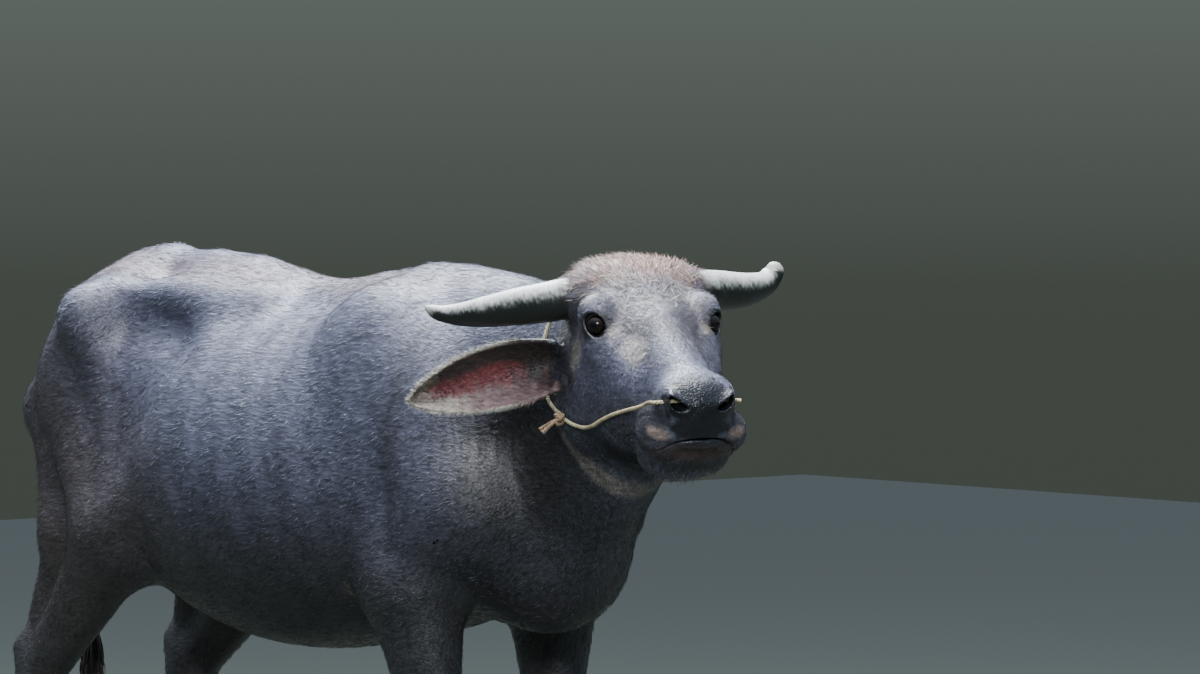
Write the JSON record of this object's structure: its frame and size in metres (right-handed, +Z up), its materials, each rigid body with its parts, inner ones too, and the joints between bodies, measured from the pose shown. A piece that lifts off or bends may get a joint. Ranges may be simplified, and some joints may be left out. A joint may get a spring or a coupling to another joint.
{
  "type": "water buffalo, life-size still model",
  "caption": "Young swamp water buffalo cow standing with her head turned to the right, in a thin nose rope and halter.",
  "frame": {"origin": "on the floor, under the centre of the animal's bounding box", "axes": "+X towards the animal's front along its trunk, +Y to its left, +Z up"},
  "size_m": [1.7945, 0.5871, 1.1752],
  "materials": {
    "hide": "slate grey skin with a sparse short coat",
    "horn": "ringed horn, pale above and dark below",
    "hoof": "dull dark hoof horn",
    "eye": "wet dark brown",
    "switch_hair": "coarse dark tail hair",
    "rope": "thin twisted cord, worn and yellowed"
  },
  "bodies": {
    "root": {"barrel": "hide", "claw_fore_left_inner": "hoof", "claw_fore_left_outer": "hoof", "claw_fore_right_inner": "hoof", "claw_fore_right_outer": "hoof", "claw_hind_left_inner": "hoof", "claw_hind_left_outer": "hoof", "claw_hind_right_inner": "hoof", "claw_hind_right_outer": "hoof", "dewclaw_fore_left_inner": "hoof", "dewclaw_fore_left_outer": "hoof", "dewclaw_fore_right_inner": "hoof", "dewclaw_fore_right_outer": "hoof", "dewclaw_hind_left_inner": "hoof", "dewclaw_hind_left_outer": "hoof", "dewclaw_hind_right_inner": "hoof", "dewclaw_hind_right_outer": "hoof", "ear_left": "hide", "ear_right": "hide", "eye_left": "eye", "eye_right": "eye", "foreleg_lower_left": "hide", "foreleg_lower_right": "hide", "foreleg_upper_left": "hide", "foreleg_upper_right": "hide", "forequarters": "hide", "head": "hide", "hindleg_lower_left": "hide", "hindleg_lower_right": "hide", "hindleg_upper_left": "hide", "hindleg_upper_right": "hide", "hindquarters": "hide", "horn_left": "horn", "horn_right": "horn", "knot_left": "rope", "knot_right": "rope", "muzzle": "hide", "neck": "hide", "nose_rope": "rope", "poll_rope": "rope", "tail": "hide", "tail_switch": "switch_hair"}
  },
  "joints": []
}
